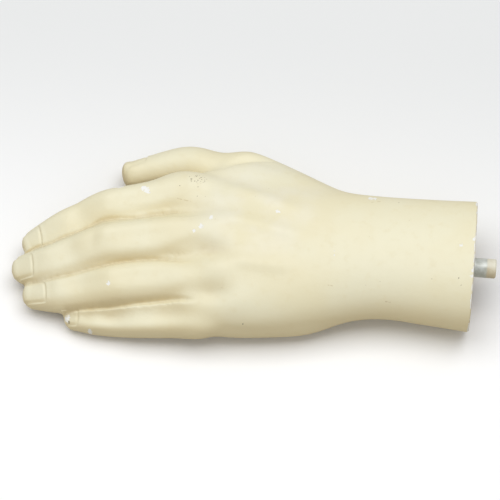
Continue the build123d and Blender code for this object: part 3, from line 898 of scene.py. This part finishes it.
# Stray dots of dirt lie all over the hand, in a few cells of a wide pattern, and a close net of
# dots lies on the index knuckle.
DOT_SCALE, DOT_EDGE, DOT_SHARE = 150.0, (0.045, 0.02), 0.5
LONE_DOTS = (0.72, 0.74)
NET_MIDDLE, NET_SHAPE, NET_REACH = (-145.7, 31.0, 15.1), (0.6, 1.0, 0.35), (0.0034, 0.0024)
NET_SCALE, NET_EDGE, NET_SHARE = 820.0, (0.36, 0.28), 0.75
dots = add(tree, "TexVoronoi", {"Vector": place, "Scale": DOT_SCALE})
lone = band(tree, add(tree, "SeparateColor", {0: dots.outputs["Color"]}).outputs[0], *LONE_DOTS)
stray_dots = times(tree, band(tree, dots.outputs["Distance"], *DOT_EDGE), lone)
net = add(tree, "TexVoronoi", {"Vector": place, "Scale": NET_SCALE}).outputs["Distance"]
around = moved(tree, "SUBTRACT", place, Vector(NET_MIDDLE) / 1000)
around = measured(tree, "LENGTH", moved(tree, "MULTIPLY", around, NET_SHAPE))
net_dots = times(tree, band(tree, net, *NET_EDGE), band(tree, around, *NET_REACH))
dotted = larger(tree, dotted, times(tree, stray_dots, DOT_SHARE))
dotted = larger(tree, dotted, times(tree, net_dots, NET_SHARE))

# Scratches on the back of the hand: thin broken lines, each from one place to another in
# millimetres, with dirt in them.
SCRATCHES = (
    ((-155.0, 20.6, 0.0), (-148.0, 18.9, 0.0)), ((-73.4, -23.8, 0.0), (-71.2, -23.9, 0.0)),
    ((-43.6, -27.4, 0.0), (-40.8, -27.6, 0.0)), ((-54.5, 24.5, 0.0), (-50.0, 25.5, 0.0)),
)
SCRATCH_EDGE, SCRATCH_SHARE = (0.00032, 0.0001), 0.4
SCRATCHED_Z = (-0.002, 0.002)
BREAK_NOISE, BREAK_EDGE = (600.0, 3.0), (0.38, 0.6)
scratched = None
on_back = moved(tree, "MULTIPLY", place, (1.0, 1.0, 0.0))
for start, stop in SCRATCHES:
    run = (Vector(stop) - Vector(start)) / 1000
    offset = moved(tree, "SUBTRACT", on_back, Vector(start) / 1000)
    along = measured(tree, "DOT_PRODUCT", offset, run / run.length_squared)
    foot = stretched(tree, run, add(tree, "Clamp", {"Value": along}).outputs[0])
    line = band(tree, measured(tree, "DISTANCE", offset, foot), *SCRATCH_EDGE)
    scratched = line if scratched is None else larger(tree, scratched, line)
scratched = times(tree, scratched, band(tree, z, *SCRATCHED_Z))
scratched = times(tree, scratched, band(tree, noise(tree, place, *BREAK_NOISE), *BREAK_EDGE))

# Worn rim and bare end grain at the saw cut, with rings round a heart that lies below the wrist.
# Some of the paint was washed over the end grain.
BARE_WOOD = (0.430, 0.270, 0.120, 1.0)
DARK_WOOD = (0.270, 0.155, 0.065, 1.0)
RIM_NOISE, RIM_X, RIM_RAGGED, RIM_EDGE = (160.0, 6.0), (-0.0024, 0.0), 1.9, (1.88, 1.94)
SAWN_X = (-0.00022, -0.00008)
RECESS_WALL, RECESS_X = (0.0182, 0.0181), (-0.0035, -0.0033)
SLEEVE_WALL, SLEEVE_X = (0.0079, 0.0077), (-0.056, -0.055)
HEART = (0.0, -0.006, -0.034)
RING_PITCH, RING_EDGE = 0.0021, (0.1, 0.95)
WAVE_NOISE, WAVE_REACH = (70.0, 2.0), 0.003
PORE_NOISE, PORE_EDGE, PORE_SHARE = (1500.0, 1.0), (0.62, 0.72), 0.5
WASH_NOISE, WASH_OUTWARD, WASH_EDGE, WASH_SHARE = (150.0, 5.0), 16.0, (0.78, 1.05), 0.75
rim_edge = plus(tree, band(tree, x, *RIM_X), times(tree, noise(tree, place, *RIM_NOISE), RIM_RAGGED))
rim_worn = band(tree, rim_edge, *RIM_EDGE)
flat_place = add(tree, "CombineXYZ", {1: y, 2: z}).outputs[0]
from_axis = measured(tree, "LENGTH", flat_place)
in_recess = times(tree, band(tree, from_axis, *RECESS_WALL), band(tree, x, *RECESS_X))
in_sleeve = times(tree, band(tree, from_axis, *SLEEVE_WALL), band(tree, x, *SLEEVE_X))
end_face = larger(tree, band(tree, x, *SAWN_X), larger(tree, in_recess, in_sleeve))
heart_gap = measured(tree, "DISTANCE", flat_place, HEART)
heart_gap = plus(tree, heart_gap, times(tree, noise(tree, place, *WAVE_NOISE), WAVE_REACH))
ring = sum_of(tree, "FRACT", sum_of(tree, "DIVIDE", heart_gap, RING_PITCH), 0.0)
pores = band(tree, noise(tree, place, *PORE_NOISE), *PORE_EDGE)
wood = blend(tree, band(tree, ring, *RING_EDGE), BARE_WOOD, DARK_WOOD)
wood = blend(tree, times(tree, pores, PORE_SHARE), wood, DARK_WOOD)
wash = plus(tree, noise(tree, place, *WASH_NOISE), times(tree, from_axis, WASH_OUTWARD))
wood = blend(tree, times(tree, band(tree, wash, *WASH_EDGE), WASH_SHARE), wood, coat["Color"])

# All of the hand's finish together, with the paint paled by handling on the back of the hand.
PALED_MIDDLE, PALED_REACH = (-112.0, 20.0, 17.0), (0.048, 0.012)
PALED_NOISE, PALED_EDGE, PALED_SHARE = (55.0, 4.0), (0.3, 0.7), 0.3
BARE_ROUGHNESS = 0.3
CHIP_DEPTH = 1.5
PAINT_BUMP, PAINT_THICKNESS = 0.35, 0.0003
from_paled = measured(tree, "DISTANCE", place, Vector(PALED_MIDDLE) / 1000)
paled = band(tree, noise(tree, place, *PALED_NOISE), *PALED_EDGE)
paled = times(tree, band(tree, from_paled, *PALED_REACH), paled)
colour = blend(tree, times(tree, paled, PALED_SHARE), coat["Color"], WHITE_GROUND)
ground = larger(tree, chipped, rim_worn)
colour = blend(tree, ground, colour, WHITE_GROUND)
colour = blend(tree, times(tree, scratched, SCRATCH_SHARE), colour, GRIME_AND_SHADE_BROWN)
colour = blend(tree, times(tree, dotted, SPECK_SHARE), colour, SPECK_BROWN)
colour = blend(tree, end_face, colour, wood)
tree.links.new(colour, shader.inputs["Base Color"])
bare = larger(tree, ground, end_face)
rough = plus(tree, coat["Roughness"], times(tree, bare, BARE_ROUGHNESS))
tree.links.new(rough, shader.inputs["Roughness"])
height = sum_of(tree, "SUBTRACT", coat["Height"], times(tree, ground, CHIP_DEPTH))
height = sum_of(tree, "SUBTRACT", height, times(tree, end_face, plus(tree, ring, pores)))
bump = add(tree, "Bump", {"Height": height, "Strength": PAINT_BUMP, "Distance": PAINT_THICKNESS})
tree.links.new(bump.outputs["Normal"], shader.inputs["Normal"])
hand.data.materials.clear()
hand.data.materials.append(paint)

# Bush and its three screws: a flanged sleeve of turned steel, let in flush with the wrist end and
# held by slotted wood screws. All the metal is stained by age, with fine marks of turning.
TURNED_STEEL = (0.560, 0.560, 0.540, 1.0)
DULL_STEEL = (0.330, 0.330, 0.310, 1.0)
SCREW_STEEL = (0.300, 0.300, 0.290, 1.0)
DARK_STEEL = (0.120, 0.120, 0.110, 1.0)
TURNING_STRETCH, TURNING_NOISE = (30.0, 1.5, 1.5), (60.0, 3.0)
STAIN_NOISE, STAIN_EDGE = (260.0, 5.0), (0.38, 0.68)
STEEL_ROUGHNESS, STAIN_ROUGHNESS, TURNING_ROUGHNESS = 0.34, 0.2, 0.1
STEEL_BUMP, STEEL_MARKS = 0.25, 0.0002

old_steel, given, made = new_group(
    "old_steel", [("Place", "Vector"), ("Bright", "Color"), ("Dull", "Color")],
    [("Color", "Color"), ("Roughness", "Float"), ("Height", "Float")])
turning = moved(old_steel, "MULTIPLY", given["Place"], TURNING_STRETCH)
turning = noise(old_steel, turning, *TURNING_NOISE)
stains = noise(old_steel, given["Place"], *STAIN_NOISE)
stained = band(old_steel, stains, *STAIN_EDGE)
old_steel.links.new(blend(old_steel, stained, given["Bright"], given["Dull"]), made["Color"])
dull = plus(old_steel, times(old_steel, stained, STAIN_ROUGHNESS), STEEL_ROUGHNESS)
dull = plus(old_steel, dull, times(old_steel, turning, TURNING_ROUGHNESS))
old_steel.links.new(dull, made["Roughness"])
old_steel.links.new(plus(old_steel, turning, stains), made["Height"])


def steel(name, bright, dull):
    """Material of plain old steel, with the sockets that a coat over it may need."""
    metal, tree, shader, place = new_material(name)
    shader.inputs["Metallic"].default_value = 1.0
    look = use_group(tree, old_steel, {"Place": place, "Bright": bright, "Dull": dull})
    tree.links.new(look["Color"], shader.inputs["Base Color"])
    tree.links.new(look["Roughness"], shader.inputs["Roughness"])
    bump = add(tree, "Bump", {"Height": look["Height"], "Strength": STEEL_BUMP, "Distance": STEEL_MARKS})
    tree.links.new(bump.outputs["Normal"], shader.inputs["Normal"])
    return metal, tree, shader, place, look


def finish(node, material):
    """Give a CAD node its material."""
    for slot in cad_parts[node].material_slots:
        slot.material = material


finish("post_bush", steel("bush_steel", TURNED_STEEL, DULL_STEEL)[0])
finish("bush_screws", steel("screw_steel", SCREW_STEEL, DARK_STEEL)[0])

# Post: a stepped pin of zinc-plated steel that turns in the bush. Its end has kept some of the
# hand's paint, which turns ochre in patches towards the -y side.
ZINC = (0.740, 0.770, 0.730, 1.0)
GREY_ZINC = (0.560, 0.580, 0.520, 1.0)
OCHRE = (0.520, 0.370, 0.130, 1.0)
POST_METALLIC = 0.2
PAINT_X = (0.0074, 0.0086)
PAINT_RAGGED_NOISE, PAINT_RAGGED_REACH = (420.0, 3.0), 0.0016
PAINT_DIRT, PAINT_PALED, PAINT_ROUGHNESS = 0.1, 0.4, 0.12
BROWN_NOISE, BROWN_SIDE, BROWN_EDGE, BROWN_SHARE = (230.0, 3.0), 60.0, (0.45, 0.9), 0.45
post_metal, tree, shader, place, look = steel("post_steel", ZINC, GREY_ZINC)
x, y, _ = add(tree, "SeparateXYZ", {0: place}).outputs
edge = plus(tree, x, times(tree, noise(tree, place, *PAINT_RAGGED_NOISE), PAINT_RAGGED_REACH))
painted = band(tree, edge, *PAINT_X)
old_coat = use_group(tree, cream_coat, {"Place": place, "Grime_And_Shade": PAINT_DIRT, "Age": 0.0})
browned = sum_of(tree, "SUBTRACT", noise(tree, place, *BROWN_NOISE), times(tree, y, BROWN_SIDE))
browned = times(tree, band(tree, browned, *BROWN_EDGE), BROWN_SHARE)
old_paint = blend(tree, PAINT_PALED, old_coat["Color"], WHITE_GROUND)
old_paint = blend(tree, browned, old_paint, OCHRE)
tree.links.new(blend(tree, painted, look["Color"], old_paint), shader.inputs["Base Color"])
bare_metal = sum_of(tree, "SUBTRACT", 1.0, painted)
tree.links.new(times(tree, bare_metal, POST_METALLIC), shader.inputs["Metallic"])
rough = plus(tree, look["Roughness"], times(tree, painted, PAINT_ROUGHNESS))
tree.links.new(rough, shader.inputs["Roughness"])
finish("wrist_post", post_metal)

# Spring washer and retaining clip: pressed from blued spring steel. They hold the post in the
# bush from inside the hand, where they can't be seen.
BLUED = (0.170, 0.180, 0.200, 1.0)
DARK_BLUED = (0.080, 0.085, 0.095, 1.0)
finish("spring_washer", steel("spring_steel", BLUED, DARK_BLUED)[0])
finish("retaining_clip", steel("clip_steel", BLUED, DARK_BLUED)[0])

# Floor: a white table, with painted shade making it a little greyer further back. It throws less
# light back on to the hand than it shows to the camera.
FLOOR_SIZE = 6.0
FLOOR_X = -0.1
TABLE_Y = (-0.06, 0.16)
TABLE_ROUGHNESS = 0.8
NEAR_WHITE = (1.0, 1.0, 1.0, 1.0)
FAR_SHADED_WHITE = (0.79, 0.80, 0.80, 1.0)
BOUNCE_GREY = (0.62, 0.59, 0.52, 1.0)
bpy.ops.object.select_all(action="DESELECT")
bpy.ops.mesh.primitive_plane_add(size=FLOOR_SIZE, location=(FLOOR_X, 0, cad_low[2]))
floor = bpy.context.object
floor.name = "floor"
bpy.ops.object.transform_apply(location=True, rotation=True, scale=True)
white, tree, shader, place = new_material("white_table")
shader.inputs["Roughness"].default_value = TABLE_ROUGHNESS
# Painted shade: the table greys towards the back.
back_shade = band(tree, add(tree, "SeparateXYZ", {0: place}).outputs["Y"], *TABLE_Y)
seen = add(tree, "LightPath", {}).outputs["Is Camera Ray"]
table = blend(tree, seen, BOUNCE_GREY, blend(tree, back_shade, NEAR_WHITE, FAR_SHADED_WHITE))
tree.links.new(table, shader.inputs["Base Color"])
floor.data.materials.append(white)

# Camera: as in the photo, from above the little-finger side. A long lens from far off keeps the
# perspective weak.
VIEW_ANGLE = 10.0
AZIMUTH = 5.0
ELEVATION = 60.0
DISTANCE = 1.480
SENSOR_WIDTH = 36.0
AIM = Vector((-0.118, 0.0, 0.0))
AIM_OFFSET = 0.0026
turn = math.radians(AZIMUTH)
rise = math.radians(ELEVATION)
back = Vector((math.sin(turn) * math.cos(rise), -math.cos(turn) * math.cos(rise), math.sin(rise)))
right = Vector((math.cos(turn), math.sin(turn), 0.0))
lens = bpy.data.cameras.new("camera")
lens.sensor_width = SENSOR_WIDTH
lens.lens = SENSOR_WIDTH / 2 / math.tan(math.radians(VIEW_ANGLE / 2))
camera = bpy.data.objects.new("camera", lens)
camera.location = AIM + right * AIM_OFFSET + back * DISTANCE
camera.rotation_euler = back.to_track_quat("Z", "Y").to_euler()
bpy.context.scene.collection.objects.link(camera)
bpy.context.scene.camera = camera

# Light: a wide soft lamp above, a weak one in front, and a white studio round them. Each lamp has
# its power, its two sizes and its place.
LAMPS = {
    "overhead": (12.9, (1.6, 1.0), (-0.15, 0.12, 1.2)),
    "front_fill": (1.0, (1.2, 1.2), (-0.12, -1.0, 0.7)),
}
LIT_PLACE = Vector((-0.12, 0.0, 0.0))
STUDIO_LIGHT = 0.39
for name, (power, sizes, spot) in LAMPS.items():
    lamp = bpy.data.lights.new(name, "AREA")
    lamp.shape = "RECTANGLE"
    lamp.size, lamp.size_y = sizes
    lamp.energy = power
    stand = bpy.data.objects.new(name, lamp)
    stand.location = spot
    stand.rotation_euler = (LIT_PLACE - stand.location).to_track_quat("-Z", "Y").to_euler()
    bpy.context.scene.collection.objects.link(stand)
world = bpy.data.worlds.new("studio")
world.use_nodes = True
world.node_tree.nodes["Background"].inputs["Color"].default_value = (1, 1, 1, 1)
world.node_tree.nodes["Background"].inputs["Strength"].default_value = STUDIO_LIGHT
bpy.context.scene.world = world
bpy.context.scene.view_settings.view_transform = "Standard"
